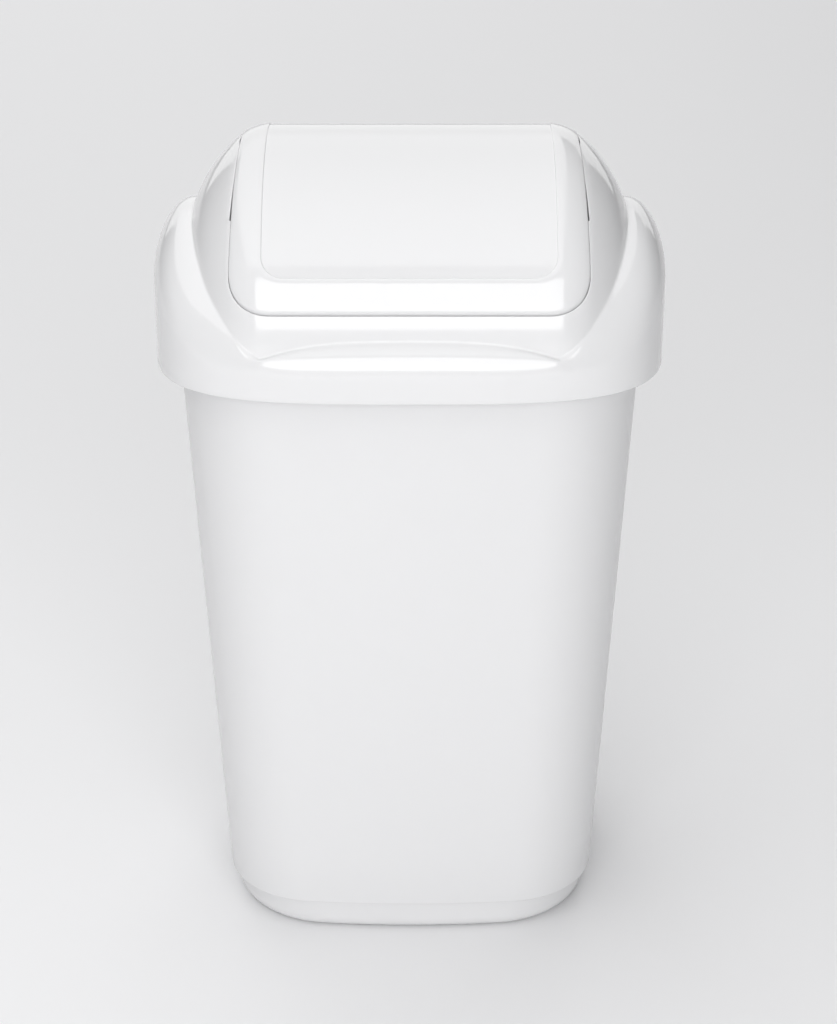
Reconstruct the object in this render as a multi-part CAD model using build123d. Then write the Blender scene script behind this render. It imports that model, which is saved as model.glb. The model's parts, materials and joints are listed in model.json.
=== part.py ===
from build123d import *
from math import copysign, cos, hypot, pi, radians, sin, tan
import os

# Countertop bin with a two-way swing lid.  Millimetres, +Z up.
# Origin: centre of the footprint, on the worktop.

# driving dimensions
wall = 2.0                    # general moulded wall
lap = 0.6                     # returns and bosses start this far inside the skin they join
edge_chamfer = 0.8

# bin body
rim_height = 243.8            # worktop to the hood's lower edge
base_a, base_b = 78.2, 61.8   # half width and half depth where the wall meets the foot
top_a, top_b = 90.8, 69.0     # the same, at rim_height
corner_share = 0.485          # corner radius of the outline as a share of its half width
side_sweep = 3.0              # half the turn of each bowed side, degrees
front_sweep = 5.4             # half the turn of the bowed front and back, degrees
foot_height = 11.7
foot_inset = 1.8
foot_round = 3.0
heel_round = 1.5              # where the wall turns in to the foot
well_round = 3.0
floor_thickness = 2.6
rim_rise = 5.0                # flange top above rim_height
flange_a, flange_b = 96.8, 72.8
flange_thickness = 2.0
flange_lip = 4.2              # downturned lip of the flange
lip_thickness = 1.6

# hood, heights measured up from rim_height
hood_a, hood_b = 100.0, 76.0
hood_n = 3.42                 # superellipse exponent of the skirt's outline
barrel_radius = 70.2          # dome: body of revolution about X
barrel_axis = 15.0
barrel_half = 53.3            # half length of its straight middle
end_round = 23.3              # radius where the barrel turns down at each end,
end_bulge = 57.3              # and of the fuller arc below it
end_turn = 48.9               # where the two meet, degrees from the barrel's axis
shoulder_top = 55.5           # side shoulders: parabolic arches along X
shoulder_arch = 146.0         # drop is depth squared over this
notch = (56.0, 17.0)          # where shoulder and ledge meet, beside the flap's corner
notch_slope = 1.5             # shoulder's rise from the notch
notch_blend = 2.0
shoulder_round = 15.2         # largest rounding of the shoulder, beside the pivots
round_blend = 2.0
round_start = 15.0            # least height at which the rounding starts
ledge_top = 22.5              # front and back ledges: flat, falling towards the notches
ledge_drop = 5.3              # ledge's drop at the notch
ledge_power = 6
ledge_blend = 1.5
seat_height = 5.3             # underside of the seat ring, rests over the flange
seat_thickness = 2.0
plug_a, plug_b = 88.2, 66.4   # locating plug inside the mouth of the bin
plug_wall = 1.8
plug_depth = 6.0

# swing flap
flap_proud = 0.4              # flap stands out from the hood
pivot_half = 65.3             # half width on the pivot line
flap_lean = 0.0365            # gain in half width for each millimetre away from it
flap_edge = (68.0, 33.7)      # lower edge: distance from centre, height
flap_corner = 15.0
pivot_height = 72.0
side_gap = 0.35
edge_gap = 0.20
return_depth = 5.0            # inward returns round the flap and its opening
return_wall = 1.6
frame_bottom = 24.0           # the opening's return stops above the ledges
panel_half = 55.0
panel_bottom = 45.8
panel_corner = 8.0
panel_depth = 0.5
relief_floor = 40.0           # the reliefs beside the flap are cut down to this height
slit = (29.0, 46.0)           # tapered slits in front of and behind the pivots
slit_gap = 0.8                # gap at their wide ends
crest = 8.0                   # shorter reliefs on both sides of the pivot line
crest_gap = 0.7

# pivots
pin_radius = 3.0
pin_length = 5.0
pin_chamfer = 0.5
pin_end_gap = 0.4             # from the pin's end to the bottom of its bore
bore_radius = 3.05
boss_radius = 6.5
boss_gap = 0.7                # between the ear and the boss
ear_radius = 7.0
ear_thickness = 3.0
ear_height = 12.0             # above the pivot line, up into the flap's skin

# smoothness of the shoulder's surfaces
ring_points = 56
corner_crowding = 0.1         # radians; sets the points closer at the corners
round_steps = 4

# where the shoulder's surface closes over, out of sight under the dome
crown_a, crown_b, crown_height = 60.0, 50.0, 32.0
crown_step = 3.0

# cutting solids
clear = 130.0                 # reaches past the object on every side
overrun = 1.0                 # runs past a face that is cut through


def rounded(a, b, z):
    """Closed outline of eight tangent arcs at height z: bowed sides and full corners."""
    corner = corner_share * a
    s, f = radians(side_sweep), radians(front_sweep)
    lean, bulge = tan(f / 2), 1 - cos(s)
    # bow radii that meet the corner arcs without a kink
    side = (b - corner * (1 - sin(s)) - lean * (a - corner * cos(s))) / (sin(s) - lean * bulge)
    front = corner + (a - corner * cos(s) - side * bulge) / sin(f)
    x, y = (front - corner) * sin(f), (side - corner) * sin(s)
    turn = 90 - side_sweep - front_sweep
    return Pos(0, 0, z) * Wire([
        CenterArc((a - side, 0), side, -side_sweep, 2 * side_sweep),
        CenterArc((x, y), corner, side_sweep, turn),
        CenterArc((0, b - front), front, 90 - front_sweep, 2 * front_sweep),
        CenterArc((-x, y), corner, 90 + front_sweep, turn),
        CenterArc((side - a, 0), side, 180 - side_sweep, 2 * side_sweep),
        CenterArc((-x, -y), corner, 180 + side_sweep, turn),
        CenterArc((0, front - b), front, 270 - front_sweep, 2 * front_sweep),
        CenterArc((x, -y), corner, 270 + front_sweep, turn),
    ])


def ring(points):
    """Closed smooth wire; equal parameters keep the lofted surfaces light."""
    count = len(points)
    return Wire([Edge.make_spline(points, periodic=True, parameters=[i / count for i in range(count + 1)])])


def skirt_point(t, i):
    """Point i of the skirt's outline, offset inward by t, and its inward normal."""
    a, b = hood_a - t, hood_b - t
    angle = 2 * pi * (i + 0.5) / ring_points
    angle += corner_crowding * sin(4 * angle)
    r = (abs(cos(angle) / a) ** hood_n + abs(sin(angle) / b) ** hood_n) ** (-1 / hood_n)
    x, y = r * cos(angle), r * sin(angle)
    nx = -copysign(abs(x / a) ** (hood_n - 1) / a, x)
    ny = -copysign(abs(y / b) ** (hood_n - 1) / b, y)
    length = hypot(nx, ny)
    return x, y, nx / length, ny / length


def skirt_outline(t, z):
    return ring([(*skirt_point(t, i)[:2], z) for i in range(ring_points)])


def prism(a, b, z0, z1):
    return Solid.extrude(Face(rounded(a, b, z0)), (0, 0, z1 - z0))


def slab(z0, z1):
    return Pos(0, 0, (z0 + z1) / 2) * Box(2 * clear, 2 * clear, z1 - z0)


def about_x(profile, height):
    """Revolve a profile drawn as (x, radius) about the X line at this height."""
    return Pos(0, 0, height) * revolve(profile, Axis.X, 360)


def dome(grow):
    """Barrel whose ends close in two tangent arcs, grown by this much."""
    r = barrel_radius + grow
    y = barrel_radius - end_round
    far_x = barrel_half + (end_round - end_bulge) * cos(radians(end_turn))
    far_y = y + (end_round - end_bulge) * sin(radians(end_turn))
    tip = far_x + end_bulge + grow
    half = [
        CenterArc((barrel_half, y), end_round + grow, end_turn, 90 - end_turn),
        CenterArc((far_x, far_y), end_bulge + grow, 0, end_turn),
        Line((tip, far_y), (tip, 0)),
    ]
    edges = half + [mirror(edge, Plane.YZ) for edge in half]
    edges += [Line((-barrel_half, r), (barrel_half, r)), Line((-tip, 0), (tip, 0))]
    barrel = about_x(make_face(edges), rim_height + barrel_axis)
    return barrel & slab(rim_height - overrun, rim_height + clear)


def drum(grow_x, grow_r):
    """Everything the flap sweeps as it turns about its pivots."""
    y, z = flap_edge
    reach = hypot(y, pivot_height - z) + grow_r
    narrow = pivot_half + grow_x
    wide = narrow + flap_lean * reach
    edge = Polyline((-narrow, 0), (-wide, reach), (wide, reach), (narrow, 0), close=True)
    face = make_face(edge)
    face = fillet(face.vertices().group_by(Axis.Y)[-1], flap_corner)
    return about_x(face, rim_height + pivot_height)


def larger(p, q, blend):
    return (p + q + hypot(p - q, blend)) / 2


def smaller(p, q, blend):
    return (p + q - hypot(p - q, blend)) / 2


def shoulder_height(x, y, t):
    """Top of the skirt: side arches notched at the corners and blended into the ledges."""
    notch_x, notch_z = notch
    arch = shoulder_top - y * y / shoulder_arch
    side = smaller(arch, notch_z + notch_slope * (abs(x) - notch_x), notch_blend)
    ledge = ledge_top - ledge_drop * (x / notch_x) ** ledge_power
    return larger(side, ledge, ledge_blend) - t * hypot(1, 2 * y / shoulder_arch)


def shoulder_ring(t, inset, turn):
    """Closed curve round the shoulder, inset from its rounding, at a turn (0 to 1) of that rounding."""
    points = []
    for i in range(ring_points):
        x, y, nx, ny = skirt_point(t, i)
        room = shoulder_height(x, y, t) - round_start
        size = smaller(room, shoulder_round, round_blend)
        d = inset + size * (1 - cos(turn * pi / 2))
        x, y = x + d * nx, y + d * ny
        drop = size * (1 - sin(turn * pi / 2))
        points.append((x, y, rim_height + shoulder_height(x, y, t) - drop))
    return ring(points)


def shoulders(t):
    """Solid under the skirt, its side shoulders and its ledges, offset inward by t."""
    foot = skirt_outline(t, rim_height - (overrun if t else 0.0))
    rounding = [shoulder_ring(t, 0, k / round_steps) for k in range(round_steps + 1)]
    crown = rounded(crown_a, crown_b, rim_height + crown_height)
    inner = shoulder_ring(t, crown_step, 1)
    faces = [Face(foot), Face(crown)]
    faces += Shell.make_loft([foot, rounding[0]], ruled=True).faces()
    faces += Shell.make_loft(rounding).faces()
    faces += Shell.make_loft([rounding[-1], inner, crown], ruled=True).faces()
    return Solid(Shell(faces))


def bucket_outline(z, inset):
    """Outline of the tapered wall at height z."""
    share = (z - foot_height) / (rim_height - foot_height)
    a = base_a + (top_a - base_a) * share
    b = base_b + (top_b - base_b) * share
    return rounded(a - inset, b - inset, z)


def bucket(z0, z1, inset):
    return Solid.make_loft([bucket_outline(z0, inset), bucket_outline(z1, inset)], ruled=True)


def along_x(x0, x1, radius, height):
    """Cylinder between two x positions, at a height above the rim."""
    return Pos((x0 + x1) / 2, 0, rim_height + height) * Rot(0, 90, 0) * Cylinder(radius, x1 - x0)


def at_height(shape, z, tolerance=0.05):
    """Edges of a shape that lie flat at height z."""
    return [e for e in shape.edges() if abs(e.bounding_box().min.Z - z) < tolerance
            and abs(e.bounding_box().max.Z - z) < tolerance]


def make_body():
    top = rim_height + rim_rise
    shell = bucket(foot_height + heel_round, top, 0)
    heel = prism(base_a, base_b, foot_height, foot_height + heel_round + overrun)
    heel = heel.fillet(heel_round, at_height(heel, foot_height))
    foot = prism(base_a - foot_inset, base_b - foot_inset, 0, foot_height + heel_round)
    foot = foot.fillet(foot_round, at_height(foot, 0))

    # flange with a downturned lip
    flange = prism(flange_a, flange_b, top - flange_lip, top)
    flange = flange.chamfer(edge_chamfer, None, at_height(flange, top))
    lip_a, lip_b = flange_a - lip_thickness, flange_b - lip_thickness
    under = prism(lip_a, lip_b, top - flange_lip - overrun, top - flange_thickness)

    # inside of the bucket and of its foot
    hollow = bucket(foot_height + wall, top + overrun, wall)
    well_a, well_b = base_a - foot_inset - wall, base_b - foot_inset - wall
    well = prism(well_a, well_b, floor_thickness, foot_height + 2 * wall)
    well = well.fillet(well_round, at_height(well, floor_thickness))
    return shell + heel + foot + (flange - under) - hollow - well


def relief(start, end, start_gap, end_gap):
    """Tapered cut beside the flap, from one distance off the pivot line to another, all four sides."""
    near = pivot_half + flap_lean * start + start_gap
    far = pivot_half + flap_lean * end + end_gap
    plan = make_face(Polyline((0, start), (near, start), (far, end), (0, end), close=True))
    cut = Pos(0, 0, rim_height + relief_floor) * extrude(plan, clear - relief_floor)
    cut = cut + mirror(cut, Plane.YZ)
    return cut + mirror(cut, Plane.XZ)


def make_hood():
    hood = (shoulders(0) + dome(0)) - (shoulders(wall) + dome(-wall))

    # ring that rests over the bin's flange, with a plug that locates inside its mouth
    seat_top = rim_height + seat_height + seat_thickness
    plug_bottom = rim_height - plug_depth
    seat = prism(hood_a - wall / 2, hood_b - wall / 2, rim_height + seat_height, seat_top)
    plug = prism(plug_a, plug_b, plug_bottom, seat_top)
    plug = plug.chamfer(edge_chamfer, None, at_height(plug, plug_bottom))
    mouth_a, mouth_b = plug_a - plug_wall, plug_b - plug_wall
    mouth = prism(mouth_a, mouth_b, plug_bottom - overrun, seat_top + overrun)
    hood = hood + (seat + plug - mouth)

    # inward return round the opening
    frame = (dome(-lap) - dome(-return_depth)) & drum(side_gap + return_wall, edge_gap + return_wall)
    hood = hood + (frame & slab(rim_height + frame_bottom, rim_height + clear))

    # bearing bosses for the flap's pins
    boss = along_x(pivot_half + boss_gap, clear, boss_radius, pivot_height) & dome(-lap)
    hood = hood + boss + mirror(boss, Plane.YZ)
    hood = hood - drum(side_gap, edge_gap)
    bore_end = pivot_half + pin_length + pin_end_gap
    hood = hood - along_x(-bore_end, bore_end, bore_radius, pivot_height)

    hood = hood - relief(*slit, side_gap, slit_gap)
    return hood - relief(0, crest, crest_gap, side_gap)


def make_flap():
    skin = dome(flap_proud) - dome(flap_proud - wall)

    # shallow panel that starts at panel_bottom on both faces and runs over the crest
    panel_height = clear - panel_bottom
    panel = extrude(RectangleRounded(2 * panel_half, panel_height, panel_corner), clear, both=True)
    panel = Pos(0, 0, rim_height + (panel_bottom + clear) / 2) * Rot(90, 0, 0) * panel
    skin = skin - (panel - dome(flap_proud - panel_depth))
    edge = (dome(flap_proud - lap) - dome(-return_depth)) - drum(-return_wall, -return_wall)
    flap = (skin + edge) & drum(0, 0)

    # ears that carry the pins
    inner = pivot_half - ear_thickness
    web = Box(ear_thickness, 2 * ear_radius, ear_height)
    web = Pos((pivot_half + inner) / 2, 0, rim_height + pivot_height + ear_height / 2) * web
    ear = along_x(inner, pivot_half, ear_radius, pivot_height) + web
    pin = along_x(inner + overrun, pivot_half + pin_length, pin_radius, pivot_height)
    pin = chamfer(pin.edges().sort_by(Axis.X)[-1], pin_chamfer)
    ear = (ear & dome(flap_proud - lap)) + pin
    return flap + ear + mirror(ear, Plane.YZ)


def export(name, shape):
    solid = shape.solids()[0]
    solid.label = name
    export_step(solid, "parts/" + name + ".step")
    print(name, "solids", len(shape.solids()), "volume", round(solid.volume), "valid", solid.is_valid)


os.makedirs("parts", exist_ok=True)
export("bin_body", make_body())
export("swing_flap", make_flap())
export("hood", make_hood())
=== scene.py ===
import bmesh
import bpy
import json
from math import acos, atan2, copysign, cos, hypot, pi, radians, sin, sqrt, tan
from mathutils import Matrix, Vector


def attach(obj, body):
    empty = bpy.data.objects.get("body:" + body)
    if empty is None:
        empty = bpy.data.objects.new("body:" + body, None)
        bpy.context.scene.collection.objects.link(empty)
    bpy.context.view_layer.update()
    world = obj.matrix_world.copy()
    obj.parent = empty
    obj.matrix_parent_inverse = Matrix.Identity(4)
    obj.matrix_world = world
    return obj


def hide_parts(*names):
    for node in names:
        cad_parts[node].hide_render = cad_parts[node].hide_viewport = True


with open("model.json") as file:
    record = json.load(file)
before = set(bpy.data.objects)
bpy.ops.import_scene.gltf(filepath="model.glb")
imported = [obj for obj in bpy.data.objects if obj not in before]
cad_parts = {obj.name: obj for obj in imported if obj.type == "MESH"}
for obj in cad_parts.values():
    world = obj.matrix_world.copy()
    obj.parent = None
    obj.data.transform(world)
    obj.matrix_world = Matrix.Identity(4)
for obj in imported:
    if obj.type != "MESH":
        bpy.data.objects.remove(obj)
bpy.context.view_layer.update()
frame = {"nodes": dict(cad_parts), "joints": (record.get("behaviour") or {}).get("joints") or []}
print("frame loaded:", ", ".join(sorted(frame["nodes"])))

# a swing lid bin for the worktop: a tapered bucket, a lift-off hood and a flap that swings both ways
# sizes are in millimetres, heights are from the worktop unless they say otherwise
mm = 0.001
rimHeight = 243.8             # worktop to the hood's lower edge
swing = [j for j in frame["joints"] if j["child"] == "flap"][0]
pivotHeight = swing["pos_m"][2] / mm

detail = {
    "quarterSteps": 64,       # vertices round a quarter of the hood
    "bucketSteps": 40,        # and round a quarter of the bucket
    "pinSteps": 40,           # and round a pin and its socket
    "lineSteps": 60,          # a line over the hood before its vertices are spread evenly
    "cutSteps": 400,          # and where it is shortened for the fillet in the crease
    "filletSteps": 5,
    "skirtSteps": 4000,       # the skirt, measured along a quarter
    "halvings": 40,           # when a place is searched for
    "mergeWithin": 0.005,     # vertices closer than this are one
    "sharpAngle": 38,         # an edge that turns more than this, in degrees, stays sharp
}


def toLinear(hexColour):
    parts = [int(hexColour[i:i + 2], 16) / 255 for i in (1, 3, 5)]
    return [c / 12.92 if c <= 0.04045 else ((c + 0.055) / 1.055) ** 2.4 for c in parts] + [1.0]


def addNode(tree, kind, settings=None, inputs=None, links=None):
    node = tree.nodes.new(kind)
    for key, value in (settings or {}).items():
        setattr(node, key, value)
    for key, value in (inputs or {}).items():
        node.inputs[key].default_value = value
    for key, socket in (links or {}).items():
        tree.links.new(socket, node.inputs[key])
    return node


def place(x, y, z):
    return Vector((x, y, z)) * mm


def mix(a, b, t):
    return a + (b - a) * t


def larger(p, q, blend):
    # the larger of two heights, run softly into each other
    return (p + q + hypot(p - q, blend)) / 2


def smaller(p, q, blend):
    return (p + q - hypot(p - q, blend)) / 2


def lastWhere(low, high, holds):
    # halve a stretch down to the last place where something holds
    for _ in range(detail["halvings"]):
        middle = (low + high) / 2
        if holds(middle):
            low = middle
        else:
            high = middle
    return low


def rounding(steps, first=0):
    # a quarter turn as shares of its radius: one grows from 0 to 1 while the other shrinks to 0
    turns = [radians(90 * k / steps) for k in range(first, steps + 1)]
    return [(1 - cos(t), 1 - sin(t)) for t in turns]


def evenly(points, count):
    # points spaced evenly along a fine line
    lengths = [0.0]
    for p, q in zip(points, points[1:]):
        lengths.append(lengths[-1] + (q - p).length)
    found, k = [], 0
    for step in range(count + 1):
        wanted = lengths[-1] * step / count
        while k < len(points) - 2 and lengths[k + 1] < wanted:
            k += 1
        span = lengths[k + 1] - lengths[k]
        found.append(points[k].lerp(points[k + 1], (wanted - lengths[k]) / span if span else 0.0))
    return found


def shortened(points, cut):
    # a fine line without its last stretch, which is at most a third of it
    total = sum((q - p).length for p, q in zip(points, points[1:]))
    share = 1 - min(cut / total, 1 / 3)
    steps = detail["cutSteps"]
    return evenly(points, steps)[:int(steps * share) + 1]


def allRound(quarter):
    # four mirrored quarters from one that runs from the side (+X) to the front or back
    first = [Vector(p) for p in quarter]
    second = [Vector((-p.x, p.y, p.z)) for p in reversed(first[:-1])]
    third = [Vector((-p.x, -p.y, p.z)) for p in first[1:]]
    fourth = [Vector((p.x, -p.y, p.z)) for p in reversed(first[1:-1])]
    return first + second + third + fourth


def objectMode():
    if bpy.context.object and bpy.context.object.mode != "OBJECT":
        bpy.ops.object.mode_set(mode="OBJECT")


def startLoop(name, points):
    # a plain circle, pulled onto the first loop and left in edit mode
    objectMode()
    bpy.ops.object.select_all(action="DESELECT")
    bpy.ops.mesh.primitive_circle_add(vertices=len(points), radius=0.05, fill_type="NOTHING")
    piece = bpy.context.object
    piece.name = piece.data.name = name
    bpy.ops.object.mode_set(mode="EDIT")
    mesh = bmesh.from_edit_mesh(piece.data)
    mesh.verts.ensure_lookup_table()
    number = mesh.verts.layers.int.new("number")
    for i, point in enumerate(points):
        mesh.verts[i].co = point
        mesh.verts[i][number] = i
    bmesh.update_edit_mesh(piece.data)
    bpy.ops.mesh.select_all(action="SELECT")
    return piece


def capStart():
    # close the first loop with a face, and go on from its edges alone
    bpy.ops.mesh.edge_face_add()
    bpy.ops.mesh.region_to_loop()


def nextLoop(piece, points):
    # extrude the open loop and set it on its new place
    bpy.ops.mesh.extrude_region_move()
    mesh = bmesh.from_edit_mesh(piece.data)
    number = mesh.verts.layers.int["number"]
    for vert in mesh.verts:
        if vert.select:
            vert.co = points[vert[number]]
    bmesh.update_edit_mesh(piece.data)


def keepSelected(piece, wanted):
    # narrow the selection to the vertices in the wanted place
    mesh = bmesh.from_edit_mesh(piece.data)
    for vert in mesh.verts:
        vert.select = vert.select and wanted(vert.co)
    mesh.select_flush_mode()
    bmesh.update_edit_mesh(piece.data)


def closeRing():
    # join the first and last loops
    bpy.ops.mesh.select_all(action="DESELECT")
    bpy.ops.mesh.select_mode(type="EDGE")
    bpy.ops.mesh.select_non_manifold(extend=False)
    bpy.ops.mesh.bridge_edge_loops()


def finishPiece(piece, body):
    objectMode()
    bpy.ops.object.select_all(action="DESELECT")
    piece.select_set(True)
    bpy.context.view_layer.objects.active = piece
    bpy.ops.object.mode_set(mode="EDIT")
    bpy.ops.mesh.select_all(action="SELECT")
    bpy.ops.mesh.remove_doubles(threshold=detail["mergeWithin"] * mm)
    bpy.ops.mesh.normals_make_consistent(inside=False)
    bpy.ops.object.mode_set(mode="OBJECT")
    bpy.ops.object.shade_smooth_by_angle(angle=radians(detail["sharpAngle"]))
    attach(piece, body)


bucket = {
    "base": (78.2, 65.4),     # half width and half depth where the wall meets the foot
    "top": (90.8, 69.0),      # and at the rim
    "cornerShare": 0.485,     # corner radius as a share of the half width
    "sideSweep": 3.0,         # half the turn of each bowed side, degrees
    "frontSweep": 5.4,
    "arcShares": (0.18, 0.48, 0.34),    # a quarter's vertices over its side, corner and front
    "foot": (75.2, 63.2),     # set in from the wall, most at the sides
    "footCorner": 41.0,
    "footHeight": 14.4,
    "footRound": 6.0,
    "heelRound": 0.7,         # where the wall turns in to the foot
    "wall": 2.0,
    "floor": 2.6,
    "floorShares": (0.2, 0.5, 0.8),     # the floor's loops, as shares of its size
    "wellRound": 3.0,         # inside, where the floor turns up
    "wallLoops": 12,
    "rimRise": 5.0,           # the mouth stands this far up inside the hood
    "mouthRound": 0.6,
    "flange": (96.8, 72.8),
    "flangeThickness": 2.0,
    "flangeRound": 0.8,
    "flangeLip": 4.2,         # its turned-down edge
    "lipThickness": 1.6,
    "lipChamfer": 0.3,
}


def bucketOutline(size, inset, z, steps=detail["bucketSteps"], corner=None):
    # bowed sides and full corners, as tangent arcs
    a, b = size[0] - inset, size[1] - inset
    s, f = radians(bucket["sideSweep"]), radians(bucket["frontSweep"])
    corner = corner or bucket["cornerShare"] * a
    lean, bulge = tan(f / 2), 1 - cos(s)
    side = (b - corner * (1 - sin(s)) - lean * (a - corner * cos(s))) / (sin(s) - lean * bulge)
    front = corner + (a - corner * cos(s) - side * bulge) / sin(f)
    x, y = (front - corner) * sin(f), (side - corner) * sin(s)
    onSide, _, onFront = [round(steps * share) for share in bucket["arcShares"]]
    arcs = [
        ((a - side, 0), side, 0, s, onSide),
        ((x, y), corner, s, pi / 2 - f, steps - onSide - onFront),
        ((0, b - front), front, pi / 2 - f, pi / 2, onFront),
    ]
    quarter = []
    for centre, radius, low, high, count in arcs:
        for k in range(count):
            t = mix(low, high, k / count)
            quarter.append(place(centre[0] + radius * cos(t), centre[1] + radius * sin(t), z))
    quarter.append(place(0, b, z))
    return allRound(quarter)


def wallOutline(inset, height):
    # the tapered wall at a height
    t = (height - bucket["footHeight"]) / (rimHeight - bucket["footHeight"])
    size = [mix(low, high, t) for low, high in zip(bucket["base"], bucket["top"])]
    return bucketOutline(size, inset, height)


def footOutline(inset, z):
    return bucketOutline(bucket["foot"], inset, z, corner=bucket["footCorner"] - inset)


def floorOutline(inset, share, z):
    return bucketOutline([(size - inset) * share for size in bucket["foot"]], 0, z)


def buildBucket():
    b = bucket
    wall, shares = b["wall"], b["floorShares"]
    # under the floor, up round the foot and out to the wall
    piece = startLoop("bucket", floorOutline(0, shares[0], 0))
    capStart()
    for share in shares[1:]:
        nextLoop(piece, floorOutline(0, share, 0))
    for grown, left in rounding(5):
        nextLoop(piece, footOutline(b["footRound"] * left, b["footRound"] * grown))
    nextLoop(piece, footOutline(0, b["footHeight"]))
    for grown, left in rounding(4):
        nextLoop(piece, wallOutline(b["heelRound"] * left, b["footHeight"] + b["heelRound"] * grown))
    top = rimHeight + b["rimRise"]
    under = top - b["flangeThickness"]
    for k in range(1, b["wallLoops"] + 1):
        z = mix(b["footHeight"] + b["heelRound"], under, k / b["wallLoops"])
        nextLoop(piece, wallOutline(0, z))
    # the flange with its lip
    lipLow = top - b["flangeLip"]
    for inset, z in (
        (b["lipThickness"], under),
        (b["lipThickness"], lipLow),
        (b["lipChamfer"], lipLow),
        (0, lipLow + b["lipChamfer"]),
    ):
        nextLoop(piece, bucketOutline(b["flange"], inset, z))
    for grown, left in rounding(3):
        z = top - b["flangeRound"] * left
        nextLoop(piece, bucketOutline(b["flange"], b["flangeRound"] * grown, z))
    # over the mouth and down inside to the floor
    mouth = b["mouthRound"]
    for grown, left in rounding(2):
        nextLoop(piece, wallOutline(wall - mouth * left, top - mouth * grown))
    for k in range(1, b["wallLoops"] + 1):
        z = mix(top - mouth, b["footHeight"] + wall, k / b["wallLoops"])
        nextLoop(piece, wallOutline(wall, z))
    nextLoop(piece, footOutline(wall, b["footHeight"] + wall))
    for grown, left in rounding(5):
        z = b["floor"] + b["wellRound"] * left
        nextLoop(piece, footOutline(wall + b["wellRound"] * grown, z))
    for share in reversed(shares):
        nextLoop(piece, floorOutline(wall, share, b["floor"]))
    bpy.ops.mesh.edge_face_add()
    finishPiece(piece, "bin")
    return piece


skirt = {
    "half": (100.0, 76.0),    # half width and half depth
    "squareness": 3.42,       # superellipse exponent
}


def skirtRadius(angle, inset):
    a, b = skirt["half"][0] - inset, skirt["half"][1] - inset
    n = skirt["squareness"]
    return ((cos(angle) / a) ** n + (sin(angle) / b) ** n) ** (-1 / n)


def skirtAngles():
    # polar angles of a quarter of the skirt, evenly spaced along it, from the side to the front
    fine, count = detail["skirtSteps"], detail["quarterSteps"]
    lengths, last = [0.0], (skirt["half"][0], 0.0)
    for k in range(1, fine + 1):
        t = pi / 2 * k / fine
        r = skirtRadius(t, 0.0)
        point = (r * cos(t), r * sin(t))
        lengths.append(lengths[-1] + hypot(point[0] - last[0], point[1] - last[1]))
        last = point
    angles, k = [], 0
    for step in range(count + 1):
        while k < fine and lengths[k] < lengths[-1] * step / count:
            k += 1
        angles.append(pi / 2 * k / fine)
    return angles


def skirtPoint(angle, inset):
    # a point of the skirt's first quarter, set in by some millimetres, and its inward normal
    a, b, n = skirt["half"][0] - inset, skirt["half"][1] - inset, skirt["squareness"]
    r = skirtRadius(angle, inset)
    x, y = r * cos(angle), r * sin(angle)
    nx, ny = -(x / a) ** (n - 1) / a, -(y / b) ** (n - 1) / b
    length = hypot(nx, ny)
    return x, y, nx / length, ny / length


def skirtLoop(inset, z):
    return allRound([place(*skirtPoint(angle, inset)[:2], z) for angle in skirtTable])


dome = {
    "radius": 70.2,           # barrel along X
    "axis": rimHeight + 15.0,
    "half": 53.3,             # half length of the straight middle
    "endRound": 23.3,         # first arc of each end
    "endBulge": 57.3,         # and the fuller one below it
    "endTurn": 48.9,          # where they meet, degrees from the barrel's axis
    "endReach": 75.0,         # further along an end's profile than any point asked for
    "endLow": 60.0,           # and further than where the shoulders meet it
}


def meridian(s, grow=0.0):
    # distance along the dome's profile from its middle: place along X and radius there
    r1, r2 = dome["endRound"], dome["endBulge"]
    if s <= dome["half"]:
        return s, dome["radius"] + grow
    turn = (s - dome["half"]) / r1
    first = radians(90 - dome["endTurn"])
    if turn <= first:
        x = dome["half"] + (r1 + grow) * sin(turn)
        return x, dome["radius"] - r1 + (r1 + grow) * cos(turn)
    more = first + (s - dome["half"] - r1 * first) / r2
    cx = dome["half"] + (r1 - r2) * sin(first)
    cr = dome["radius"] - r1 + (r1 - r2) * cos(first)
    return cx + (r2 + grow) * sin(more), cr + (r2 + grow) * cos(more)


def alongMeridian(x, grow=0.0):
    # the other way: distance along the profile for a place along X
    return lastWhere(0.0, dome["half"] + dome["endReach"], lambda s: meridian(s, grow)[0] < x)


def domeEnd(radius, grow):
    # place along X where the dome has come down to this radius
    low, high = dome["half"], dome["half"] + dome["endReach"]
    return meridian(lastWhere(low, high, lambda s: meridian(s, grow)[1] > radius), grow)[0]


def onDome(s, phi, grow=0.0):
    x, r = meridian(s, grow)
    return place(x, r * sin(phi), dome["axis"] + r * cos(phi))


shoulder = {                  # heights are above the rim
    "top": 55.9,              # side arches
    "arch": 146.0,            # their drop is depth squared over this
    "fallFrom": 91.5,         # they fall away outwards from this far out
    "fall": 0.45,             # by this for each millimetre
    "fallBlend": 2.0,
    "notch": (56.2, 15.9),    # where shoulder and ledge meet, beside the flap's corner
    "notchSlope": 1.05,       # the shoulder climbs from there, a little steeper further out
    "notchCurve": 0.012,
    "notchBlend": 2.0,
    "ledgeTop": 22.7,         # in the middle, in front of the flap
    "ledgeDrop": 6.9,         # lower by this at the notch
    "ledgePower": 3,
    "ledgeBlend": 0.6,
    "round": 15.2,            # rounding from the wall onto the shoulder
    "roundStart": 15.0,       # it runs in as far as the shoulder stands above this
    "wallTop": 8.5,           # and down to here at the lowest
    "roundBlend": 2.0,
    "roundLeast": 0.5,
    "deepest": 40.0,          # the crease is less far in from the wall than this
    "wall": 2.0,
}


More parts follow.
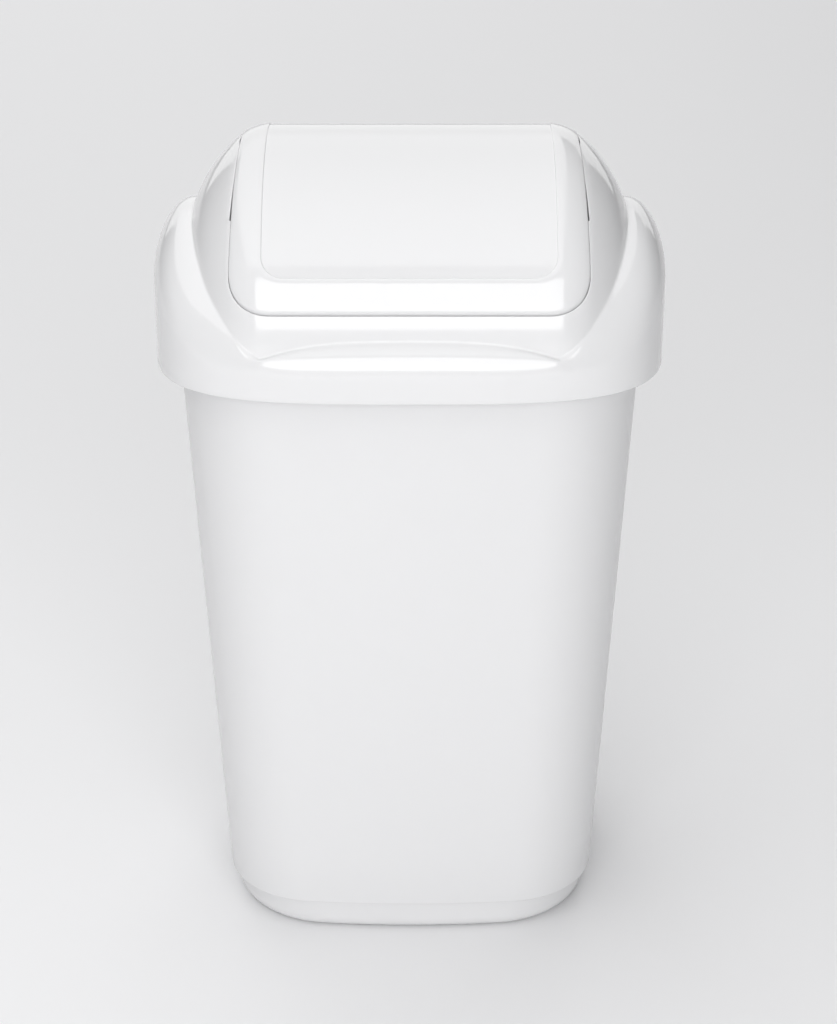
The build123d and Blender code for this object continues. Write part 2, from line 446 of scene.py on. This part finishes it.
def shoulderHeight(x, y, inset):
    form = shoulder
    notchX, notchZ = form["notch"]
    outward = larger(abs(x) - form["fallFrom"], 0, form["fallBlend"]) * form["fall"]
    arch = form["top"] - y * y / form["arch"] - outward
    beyond = abs(x) - notchX
    climb = notchZ + form["notchSlope"] * beyond + form["notchCurve"] * beyond ** 2
    side = smaller(arch, climb, form["notchBlend"])
    ledge = form["ledgeTop"] - form["ledgeDrop"] * (abs(x) / notchX) ** form["ledgePower"]
    return larger(side, ledge, form["ledgeBlend"]) - inset * hypot(1, 2 * y / form["arch"])


def shoulderProfile(angle, inset):
    # from the top of the skirt's wall over the rounding to the crease against the dome
    x, y, nx, ny = skirtPoint(angle, inset)
    height = shoulderHeight(x, y, inset)

    def roundAbove(start):
        room = max(shoulder["roundLeast"], height - shoulder[start])
        return smaller(room, shoulder["round"], shoulder["roundBlend"])

    size, depth = roundAbove("roundStart"), roundAbove("wallTop")

    def at(d):
        px, py = x + d * nx, y + d * ny
        turn = min(1.0, d / size)
        drop = depth * (1 - sqrt(1 - (1 - turn) ** 2))
        return Vector((px, py, rimHeight + shoulderHeight(px, py, inset) - drop))

    def outsideDome(d):
        p = at(d)
        if p.x > meridian(dome["half"] + dome["endLow"], -inset)[0]:
            return True
        r = meridian(alongMeridian(p.x, -inset), -inset)[1]
        return p.y >= r or dome["axis"] + sqrt(r * r - p.y * p.y) < p.z

    crease = lastWhere(0.0, shoulder["deepest"], outsideDome)
    steps = detail["lineSteps"]
    return [at(crease * (1 - cos(pi / 2 * k / steps))) for k in range(steps + 1)]


opening = {
    "pivotHalf": 65.3,        # half width of the flap on the pivots' line
    "lean": 0.0365,           # gain in half width for each millimetre away from it
    "edge": (68.0, 33.7),     # lower edge: distance from centre, height above the rim
    "corner": 15.0,
    "sideShare": 0.50,        # how far round the quarter the corner starts and ends
    "cornerShare": 0.67,
    "sideRounds": 6,          # corrections that bring a point of the side onto its line
    "slit": (29.0, 44.6),     # tapered slits in front of and behind the pivots: from, to
    "slitEnd": 0.35,          # their blunt ends
    "slitGap": 0.6,           # what they add to the side gap
    "crest": 8.0,             # shorter reliefs beside the pivots
    "crestGap": 0.5,
}


def openingPoint(u, growX, growR, grow=0.0):
    # a point of the flap's outline, u from the pivot's line to the middle of the front, on the dome
    y, z = opening["edge"]
    pivotUp = pivotHeight - dome["axis"]
    reach = hypot(y, pivotHeight - rimHeight - z) + growR
    narrow, slope = opening["pivotHalf"] + growX, opening["lean"]
    corner = opening["corner"]
    # centre of the corner's arc, tangent to the sloping side and to the edge
    tilt = atan2(slope, 1)
    centreR = reach - corner
    centreX = narrow + slope * centreR - corner / cos(tilt)

    def radiusAt(x):
        return meridian(alongMeridian(x, grow), grow)[1]

    def phiAt(x, rho):
        r = radiusAt(x)
        share = (r * r + pivotUp ** 2 - rho ** 2) / (2 * pivotUp * r)
        return acos(max(-1.0, min(1.0, share)))

    if u <= opening["sideShare"]:
        startR = centreR - corner * sin(tilt)
        x = narrow + slope * startR
        phi = phiAt(x, startR) * u / opening["sideShare"]
        for _ in range(opening["sideRounds"]):
            r = radiusAt(x)
            rho = sqrt(max(0.0, r * r + pivotUp ** 2 - 2 * pivotUp * r * cos(phi)))
            x = narrow + slope * rho
        return x, phi
    if u <= opening["cornerShare"]:
        t = (u - opening["sideShare"]) / (opening["cornerShare"] - opening["sideShare"])
        turn = mix(-tilt, pi / 2, t)
        x, rho = centreX + corner * cos(turn), centreR + corner * sin(turn)
        return x, phiAt(x, rho)
    t = (u - opening["cornerShare"]) / (1 - opening["cornerShare"])
    x = mix(centreX, 0.0, t)
    return x, phiAt(x, reach)


def openingStops():
    # where the hood's vertices stand round a quarter of the opening, and how much wider the
    # slits and reliefs make it there
    count = detail["quarterSteps"]

    def depthAt(u):
        x, phi = openingPoint(u, 0, 0)
        return meridian(alongMeridian(x))[1] * sin(phi)

    stops = [k / count for k in range(count + 1)]
    start, end = opening["slit"]
    for depth in (opening["crest"], start, end, end + opening["slitEnd"]):
        # the stop just short of each depth moves onto it, and past the slit the one just beyond
        u = lastWhere(0.0, opening["sideShare"], lambda share: depthAt(share) < depth)
        stops[int(u * count) + (1 if depth > end else 0)] = u
    table = []
    for u in stops:
        depth, wider = depthAt(u), 0.0
        if depth < opening["crest"]:
            wider = opening["crestGap"] * (1 - depth / opening["crest"])
        elif start < depth < end:
            wider = opening["slitGap"] * (depth - start) / (end - start)
        table.append((u, wider))
    return table


def openingLoop(growX, growR, grow):
    quarter = []
    for u, wider in openingTable:
        x, phi = openingPoint(u, growX + wider, growR, grow)
        quarter.append(onDome(alongMeridian(x, grow), phi, grow))
    return allRound(quarter)


hood = {
    "sideGap": 0.06,          # beside the flap
    "edgeGap": 0.45,          # and at its lower edge
    "edgeRound": 0.5,
    "returnDepth": 5.0,       # the opening's edge turns in this far
    "returnWall": 1.6,
    "outside": (7, 16, 0.9),  # loops on the dome, loops on the shoulder, fillet between them
    "inside": (4, 8, 0.5),
    "wallLoops": 5,
    "lipRound": 0.6,
    "seatHeight": 5.3,        # underside of the ring that rests on the bucket, above the rim
    "seatThickness": 2.0,
    "plug": (88.2, 66.4),     # ring that locates in the bucket's mouth
    "plugWall": 1.8,
    "plugDepth": 6.0,
    "plugChamfer": 0.8,
    "bossRadius": 6.5,        # sockets for the flap's pins
    "bossGap": 0.7,
    "bossChamfer": 0.4,
    "boreRadius": 3.05,
    "boreChamfer": 0.3,
    "boreRoom": 0.4,          # past the pin's end
    "boreCentre": 0.4,        # radius of the small face that closes the bore
}


def skinLoops(inset, edgeX, edgeR, loops):
    # loops of one skin of the hood from the opening's edge to the top of the wall
    onDomePart, onShoulder, creaseRound = loops
    steps, turns = detail["lineSteps"], detail["filletSteps"]
    lines = []
    for angle, (u, wider) in zip(skirtTable, openingTable):
        profile = shoulderProfile(angle, inset)[::-1]
        corner = profile[0]
        endS, endPhi = alongMeridian(corner.x, -inset), atan2(corner.y, corner.z - dome["axis"])
        x, phi = openingPoint(u, edgeX + wider, edgeR, -inset)
        startS = alongMeridian(x, -inset)
        down = []
        for t in [k / steps for k in range(steps + 1)]:
            down.append(onDome(mix(startS, endS, t), mix(phi, endPhi, t), -inset) / mm)
        skin = shortened(down, creaseRound)
        out = shortened(profile[::-1], creaseRound)[::-1]
        # a small fillet where the dome meets the shoulder
        fillet = []
        for t in [k / turns for k in range(1, turns)]:
            fillet.append(skin[-1] * (1 - t) ** 2 + corner * 2 * t * (1 - t) + out[0] * t ** 2)
        lines.append(evenly(skin, onDomePart) + fillet + evenly(out, onShoulder))
    return [allRound([line[k] * mm for line in lines]) for k in range(len(lines[0]))]


def bossRing(side, x, radius):
    turns = [2 * pi * k / detail["pinSteps"] for k in range(detail["pinSteps"])]
    return [place(side * x, radius * sin(t), pivotHeight + radius * cos(t)) for t in turns]


def addBosses(piece):
    # bearing sockets for the pins, standing in from the dome
    h = hood
    start = opening["pivotHalf"] + h["bossGap"]
    bottom = opening["pivotHalf"] + flap["pinLength"] + h["boreRoom"]
    for side in (-1, 1):
        root = bossRing(side, 0, h["bossRadius"])
        for point in root:
            # each point of the root ends inside the dome's wall
            fromAxis = hypot(point.y, point.z - dome["axis"] * mm) / mm
            point.x = side * domeEnd(fromAxis, -shoulder["wall"] / 2) * mm
        boss = startLoop("boss", root)
        capStart()
        for x, radius in (
            (start + h["bossChamfer"], h["bossRadius"]),
            (start, h["bossRadius"] - h["bossChamfer"]),
            (start, h["boreRadius"] + h["boreChamfer"]),
            (start + h["boreChamfer"], h["boreRadius"]),
            (bottom, h["boreRadius"]),
            (bottom, h["boreCentre"]),
        ):
            nextLoop(boss, bossRing(side, x, radius))
        bpy.ops.mesh.edge_face_add()
        bpy.ops.mesh.select_all(action="SELECT")
        bpy.ops.mesh.normals_make_consistent(inside=False)
        objectMode()
        bpy.ops.object.select_all(action="DESELECT")
        boss.select_set(True)
        piece.select_set(True)
        bpy.context.view_layer.objects.active = piece
        bpy.ops.object.join()


def buildHood():
    h = hood
    gapX, gapR, e, back = h["sideGap"], h["edgeGap"], h["edgeRound"], h["returnWall"]
    wall, lip, deep = shoulder["wall"], h["lipRound"], h["returnDepth"]
    # up the return, round the opening's edge and over the dome and shoulders
    piece = startLoop("hood_shell", openingLoop(gapX, gapR, -deep))
    nextLoop(piece, openingLoop(gapX, gapR, -deep / 2))
    for grown, left in rounding(3):
        nextLoop(piece, openingLoop(gapX + e * grown, gapR + e * grown, -e * left))
    outer = skinLoops(0.0, gapX + e, gapR + e, h["outside"])
    for loop in outer[1:]:
        nextLoop(piece, loop)
    # down the skirt's wall, round its lip and up inside to the seat
    above, below = outer[-1], skirtLoop(0.0, rimHeight + lip)
    for k in range(1, h["wallLoops"] + 1):
        nextLoop(piece, [p.lerp(q, k / h["wallLoops"]) for p, q in zip(above, below)])
    for grown, left in rounding(3, first=1):
        nextLoop(piece, skirtLoop(lip * grown, rimHeight + lip * left))
    seat = rimHeight + h["seatHeight"]
    seatTop = seat + h["seatThickness"]
    nextLoop(piece, skirtLoop(wall, rimHeight))
    nextLoop(piece, skirtLoop(wall, seat))
    # seat ring and plug, on the bucket's outline
    plugLow = rimHeight - h["plugDepth"]
    for inset, z in (
        (0, seat),
        (0, plugLow + h["plugChamfer"]),
        (h["plugChamfer"], plugLow),
        (h["plugWall"], plugLow),
        (h["plugWall"], seatTop),
    ):
        nextLoop(piece, bucketOutline(h["plug"], inset, z, detail["quarterSteps"]))
    # and back under the shoulders and the dome to the opening
    nextLoop(piece, skirtLoop(wall, seatTop))
    for loop in skinLoops(wall, gapX + back, gapR + back, h["inside"])[::-1]:
        nextLoop(piece, loop)
    nextLoop(piece, openingLoop(gapX + back, gapR + back, -deep))
    closeRing()
    objectMode()
    addBosses(piece)
    finishPiece(piece, "hood")
    return piece


flap = {
    "proud": 0.4,             # stands out from the hood
    "edgeRound": 0.5,
    "skin": 2.0,
    "skinLoop": 0.5,          # a loop this far below the inner skin keeps its corner crisp
    "returnDepth": 5.0,
    "returnWall": 1.6,
    "panelHalf": 55.0,        # recessed panel
    "panelBottom": 45.8,      # above the rim
    "panelCorner": 8.0,
    "panelDepth": 0.4,
    "panelStep": (            # up to the border again: outwards, and still down
        (0.02, 0.34), (0.15, 0.16), (0.3, 0.05), (0.5, 0.0)),
    "acrossSteps": 48,        # faces of the panel's grid
    "alongSteps": 80,
    "borderLoops": 6,
    "earRadius": 7.0,
    "earThickness": 3.0,
    "earRise": 3.0,           # stretched up into the skin
    "earSteps": 48,
    "pinRadius": 3.0,
    "pinLength": 5.0,
    "pinRoot": 1.0,           # starts this far inside the ear
    "pinChamfer": 0.5,
}


def panelPlan(u, v, grow):
    # a square's point (-1..1 both ways) moved into a rounded rectangle: distance across and
    # along the dome
    halfS = flap["panelHalf"] + grow
    r = dome["radius"] + flap["proud"]
    halfL = r * acos((rimHeight + flap["panelBottom"] - dome["axis"]) / r) + grow
    corner = flap["panelCorner"] + grow
    x, y = abs(u) * halfS, abs(v) * halfL
    if x > halfS - corner and y > halfL - corner:
        p, q = (x - halfS + corner) / corner, (y - halfL + corner) / corner
        x = halfS - corner + corner * p * sqrt(1 - q * q / 2)
        y = halfL - corner + corner * q * sqrt(1 - p * p / 2)
    return copysign(x, u), copysign(y, v)


def panelPoint(spot, grow, depth):
    across, along = panelPlan(spot.x, spot.y, grow)
    r = dome["radius"] + flap["proud"]
    point = onDome(abs(across), along / r, flap["proud"] - depth)
    return Vector((copysign(point.x, across), point.y, point.z))


def rimShares(rim):
    # the flap's outline for each vertex of the panel's rim: its share of the way round a
    # quarter, and which quarter that is
    cornerAt = (opening["sideShare"] + opening["cornerShare"]) / 2
    shares = {}
    for index, q in rim.items():
        if abs(q.x) > abs(q.y):
            u = cornerAt * abs(q.y)
        elif abs(q.x) < abs(q.y):
            u = 1 - (1 - cornerAt) * abs(q.x)
        else:
            u = cornerAt
        shares[index] = (u, 1 if q.x >= 0 else -1, 1 if q.y >= 0 else -1)
    return shares


def panelGrid():
    # a plain grid, bent onto the dome as the panel and left in edit mode with its rim selected
    objectMode()
    bpy.ops.object.select_all(action="DESELECT")
    bpy.ops.mesh.primitive_grid_add(
        x_subdivisions=flap["acrossSteps"], y_subdivisions=flap["alongSteps"], size=2)
    piece = bpy.context.object
    piece.name = piece.data.name = "swing_flap_shell"
    square = [v.co.copy() for v in piece.data.vertices]
    bpy.ops.object.mode_set(mode="EDIT")
    mesh = bmesh.from_edit_mesh(piece.data)
    mesh.verts.ensure_lookup_table()
    number = mesh.verts.layers.int.new("number")
    rim = {}
    for vert in mesh.verts:
        vert[number] = vert.index
        vert.co = panelPoint(square[vert.index], 0, flap["panelDepth"])
        vert.select = vert.is_boundary
        if vert.is_boundary:
            rim[vert.index] = square[vert.index]
    mesh.select_flush(False)
    for edge in mesh.edges:
        edge.select = edge.is_boundary
    bmesh.update_edit_mesh(piece.data)
    return piece, square, rim


def addInnerSkin(piece, square):
    # a copy of the panel's grid, turned over and joined to the last loop
    bpy.ops.mesh.select_all(action="DESELECT")
    mesh = bmesh.from_edit_mesh(piece.data)
    for face in mesh.faces:
        face.select = face.index < flap["acrossSteps"] * flap["alongSteps"]
    bmesh.update_edit_mesh(piece.data)
    bpy.ops.mesh.duplicate()
    bpy.ops.mesh.flip_normals()
    mesh = bmesh.from_edit_mesh(piece.data)
    number = mesh.verts.layers.int["number"]
    for vert in mesh.verts:
        if vert.select:
            vert.co = panelPoint(square[vert[number]], 0, flap["skin"])
    bmesh.update_edit_mesh(piece.data)
    closeRing()


def addEars(piece):
    # a rounded ear each side carries a chamfered pin; both are made in the flap's own mesh
    f = flap
    outer = opening["pivotHalf"]
    pinStart, pinEnd = outer - f["earThickness"] + f["pinRoot"], outer + f["pinLength"]
    lyingAcross = (0, pi / 2, 0)
    bpy.ops.mesh.select_mode(type="VERT")
    for side in (-1, 1):
        bpy.ops.mesh.select_all(action="DESELECT")
        bpy.ops.mesh.primitive_cylinder_add(
            vertices=f["earSteps"], radius=f["earRadius"] * mm, depth=f["earThickness"] * mm,
            location=place(side * (outer - f["earThickness"] / 2), 0, pivotHeight),
            rotation=lyingAcross)
        keepSelected(piece, lambda co: co.z > pivotHeight * mm)
        bpy.ops.transform.translate(value=(0, 0, f["earRise"] * mm))
        bpy.ops.mesh.select_all(action="DESELECT")
        bpy.ops.mesh.primitive_cylinder_add(
            vertices=detail["pinSteps"], radius=f["pinRadius"] * mm, depth=(pinEnd - pinStart) * mm,
            location=place(side * (pinStart + pinEnd) / 2, 0, pivotHeight),
            rotation=lyingAcross)
        keepSelected(piece, lambda co: abs(co.x) > outer * mm)
        bpy.ops.mesh.bevel(offset=f["pinChamfer"] * mm, segments=2)


def buildFlap():
    f = flap
    e, proud, back, deep = f["edgeRound"], f["proud"], f["returnWall"], f["returnDepth"]
    piece, square, rim = panelGrid()
    shares = rimShares(rim)

    def edgeRim(inset, grow):
        # the flap's edge, set in and raised or sunk
        loop = {}
        for index, (u, sx, sy) in shares.items():
            x, phi = openingPoint(u, -inset, -inset, grow)
            p = onDome(alongMeridian(x, grow), phi, grow)
            loop[index] = Vector((p.x * sx, p.y * sy, p.z))
        return loop

    def between(t):
        # part of the way from the panel's step to the flap's edge, on the dome
        loop = {}
        for index, (u, sx, sy) in shares.items():
            across, along = panelPlan(rim[index].x, rim[index].y, f["panelStep"][-1][0])
            x, phi = openingPoint(u, -e, -e, proud)
            startPhi = abs(along) / (dome["radius"] + proud)
            s = mix(abs(across), alongMeridian(x, proud), t)
            p = onDome(s, mix(startPhi, phi, t), proud)
            loop[index] = Vector((p.x * sx, p.y * sy, p.z))
        return loop

    for grow, depth in f["panelStep"]:
        nextLoop(piece, {i: panelPoint(spot, grow, depth) for i, spot in rim.items()})
    for k in range(1, f["borderLoops"] + 1):
        nextLoop(piece, between(k / f["borderLoops"]))
    for grown, left in rounding(3, first=1):
        nextLoop(piece, edgeRim(e * left, proud - e * grown))
    for inset, grow in (
        (0, -deep / 2),
        (0, -deep),
        (back, -deep),
        (back, proud - f["skin"] - f["skinLoop"]),
        (back, proud - f["skin"]),
    ):
        nextLoop(piece, edgeRim(inset, grow))
    addInnerSkin(piece, square)
    addEars(piece)
    finishPiece(piece, "flap")
    return piece


plastics = {                  # colour, roughness, height of the ripples and of the grain
    "gloss": ("#e4e4e5", 0.10, 0.12, 0.002),
    "satin": ("#e3e3e4", 0.26, 0.10, 0.004),
    "ior": 1.55,              # a little over polypropylene's 1.49, for a brighter gloss
    "rippleWidth": 71.43,     # from one flow ripple to the next
    "grainWidth": 1.111,      # coarser than the real grain, which is too fine to show
}


def plastic(finish):
    # injection-moulded polypropylene: white right through, with a smooth waxy gloss and the
    # faint ripples that it sets with as it flows into the mould
    hexColour, roughness, ripple, grain = plastics[finish]
    material = bpy.data.materials.new(finish + " injection-moulded polypropylene")
    material.use_nodes = True
    tree = material.node_tree
    shader = tree.nodes["Principled BSDF"]
    shader.inputs["Base Color"].default_value = toLinear(hexColour)
    shader.inputs["IOR"].default_value = plastics["ior"]
    shader.inputs["Roughness"].default_value = roughness
    coords = addNode(tree, "ShaderNodeTexCoord")
    flow = addNode(
        tree, "ShaderNodeTexNoise",
        inputs={"Scale": 1 / (plastics["rippleWidth"] * mm), "Detail": 1.0, "Roughness": 0.4},
        links={"Vector": coords.outputs["Object"]})
    grit = addNode(
        tree, "ShaderNodeTexNoise",
        inputs={"Scale": 1 / (plastics["grainWidth"] * mm), "Detail": 2.0},
        links={"Vector": coords.outputs["Object"]})
    rippled = addNode(
        tree, "ShaderNodeBump", inputs={"Strength": 1.0, "Distance": ripple * mm},
        links={"Height": flow.outputs["Fac"]})
    grained = addNode(
        tree, "ShaderNodeBump", inputs={"Strength": 1.0, "Distance": grain * mm},
        links={"Height": grit.outputs["Fac"], "Normal": rippled.outputs["Normal"]})
    tree.links.new(grained.outputs["Normal"], shader.inputs["Normal"])
    return material


glossWhite = plastic("gloss")
satinWhite = plastic("satin")
print("plastics ready")

skirtTable = skirtAngles()    # every loop of the hood stands on these two
openingTable = openingStops()
bucketPiece = buildBucket()
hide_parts("bin_body")
print("bucket:", len(bucketPiece.data.polygons), "faces")
hoodPiece = buildHood()
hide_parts("hood")
print("hood:", len(hoodPiece.data.polygons), "faces")
flapPiece = buildFlap()
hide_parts("swing_flap")
print("flap:", len(flapPiece.data.polygons), "faces")
for piece, finish in ((bucketPiece, satinWhite), (hoodPiece, glossWhite), (flapPiece, glossWhite)):
    piece.data.materials.clear()
    piece.data.materials.append(finish)


studio = {                    # lengths are in metres here
    "floorSize": 12.0,
    "paper": ("#efeff0", 0.9),          # colour and roughness
    "skyColour": "#ececed",
    "sky": 0.12,              # strength of the even light from all round
    "backdrop": 0.72,         # and of the pale backdrop past the floor's edge
    "lamps": (                # name, place, aim, width and height, watts
        ("front softbox", (0, -1.6, 0.75), (0, 0, 0.25), (1.5, 0.95), 14.8),
        ("front fill", (0, -2.2, 0.45), (0, 0, 0.25), (2.2, 0.8), 3.5),
        ("overhead panel", (-0.7, 0.95, 2.5), (-0.7, 0.9501, 0), (3.6, 7.1), 103.0),
        ("back panel", (0, 4.5, 1.3), (0, 0, 0.3), (6.0, 2.2), 42.0),
    ),
    "cameraAt": (0.0034, -0.8763, 0.5624),
    "cameraPitch": 65.64,     # degrees from straight down
    "lens": 80.86,            # mm
    "sensor": 36,             # mm wide
    "clipEnd": 50,
}


def buildFloor():
    bpy.ops.object.select_all(action="DESELECT")
    bpy.ops.mesh.primitive_plane_add(size=studio["floorSize"])
    floor = bpy.context.object
    floor.name = "floor"
    # backdrop paper: uncoated and matt, so it takes a soft shadow and shows no highlight
    paper = bpy.data.materials.new("matt white backdrop paper")
    paper.use_nodes = True
    shader = paper.node_tree.nodes["Principled BSDF"]
    hexColour, roughness = studio["paper"]
    shader.inputs["Base Color"].default_value = toLinear(hexColour)
    shader.inputs["Roughness"].default_value = roughness
    floor.data.materials.append(paper)


def buildSky():
    world = bpy.data.worlds.new("studio")
    bpy.context.scene.world = world
    world.use_nodes = True
    tree = world.node_tree
    sky = tree.nodes["Background"]
    sky.inputs["Color"].default_value = toLinear(studio["skyColour"])
    sky.inputs["Strength"].default_value = studio["sky"]
    # the backdrop itself is pale where it is seen, and adds nothing to the light
    backdrop = addNode(tree, "ShaderNodeBackground", inputs={
        "Color": toLinear(studio["skyColour"]), "Strength": studio["backdrop"]})
    rays = addNode(tree, "ShaderNodeLightPath")
    either = addNode(tree, "ShaderNodeMixShader", links={
        "Fac": rays.outputs["Is Camera Ray"],
        1: sky.outputs["Background"], 2: backdrop.outputs["Background"]})
    tree.links.new(either.outputs["Shader"], tree.nodes["World Output"].inputs["Surface"])


def addLamp(name, at, aim, size, power):
    light = bpy.data.lights.new(name, "AREA")
    light.shape = "RECTANGLE"
    light.size, light.size_y = size
    light.energy = power
    lamp = bpy.data.objects.new(name, light)
    bpy.context.scene.collection.objects.link(lamp)
    lamp.location = at
    lamp.rotation_euler = (Vector(aim) - Vector(at)).to_track_quat("-Z", "Y").to_euler()
    lamp.visible_camera = False


def addCamera():
    data = bpy.data.cameras.new("camera")
    data.sensor_width = studio["sensor"]
    data.lens = studio["lens"]
    data.clip_end = studio["clipEnd"]
    camera = bpy.data.objects.new("camera", data)
    bpy.context.scene.collection.objects.link(camera)
    camera.location = studio["cameraAt"]
    camera.rotation_euler = (radians(studio["cameraPitch"]), 0, 0)
    bpy.context.scene.camera = camera


buildFloor()
buildSky()
for lamp in studio["lamps"]:
    addLamp(*lamp)
addCamera()
bpy.context.scene.view_settings.view_transform = "Standard"
print("studio ready")
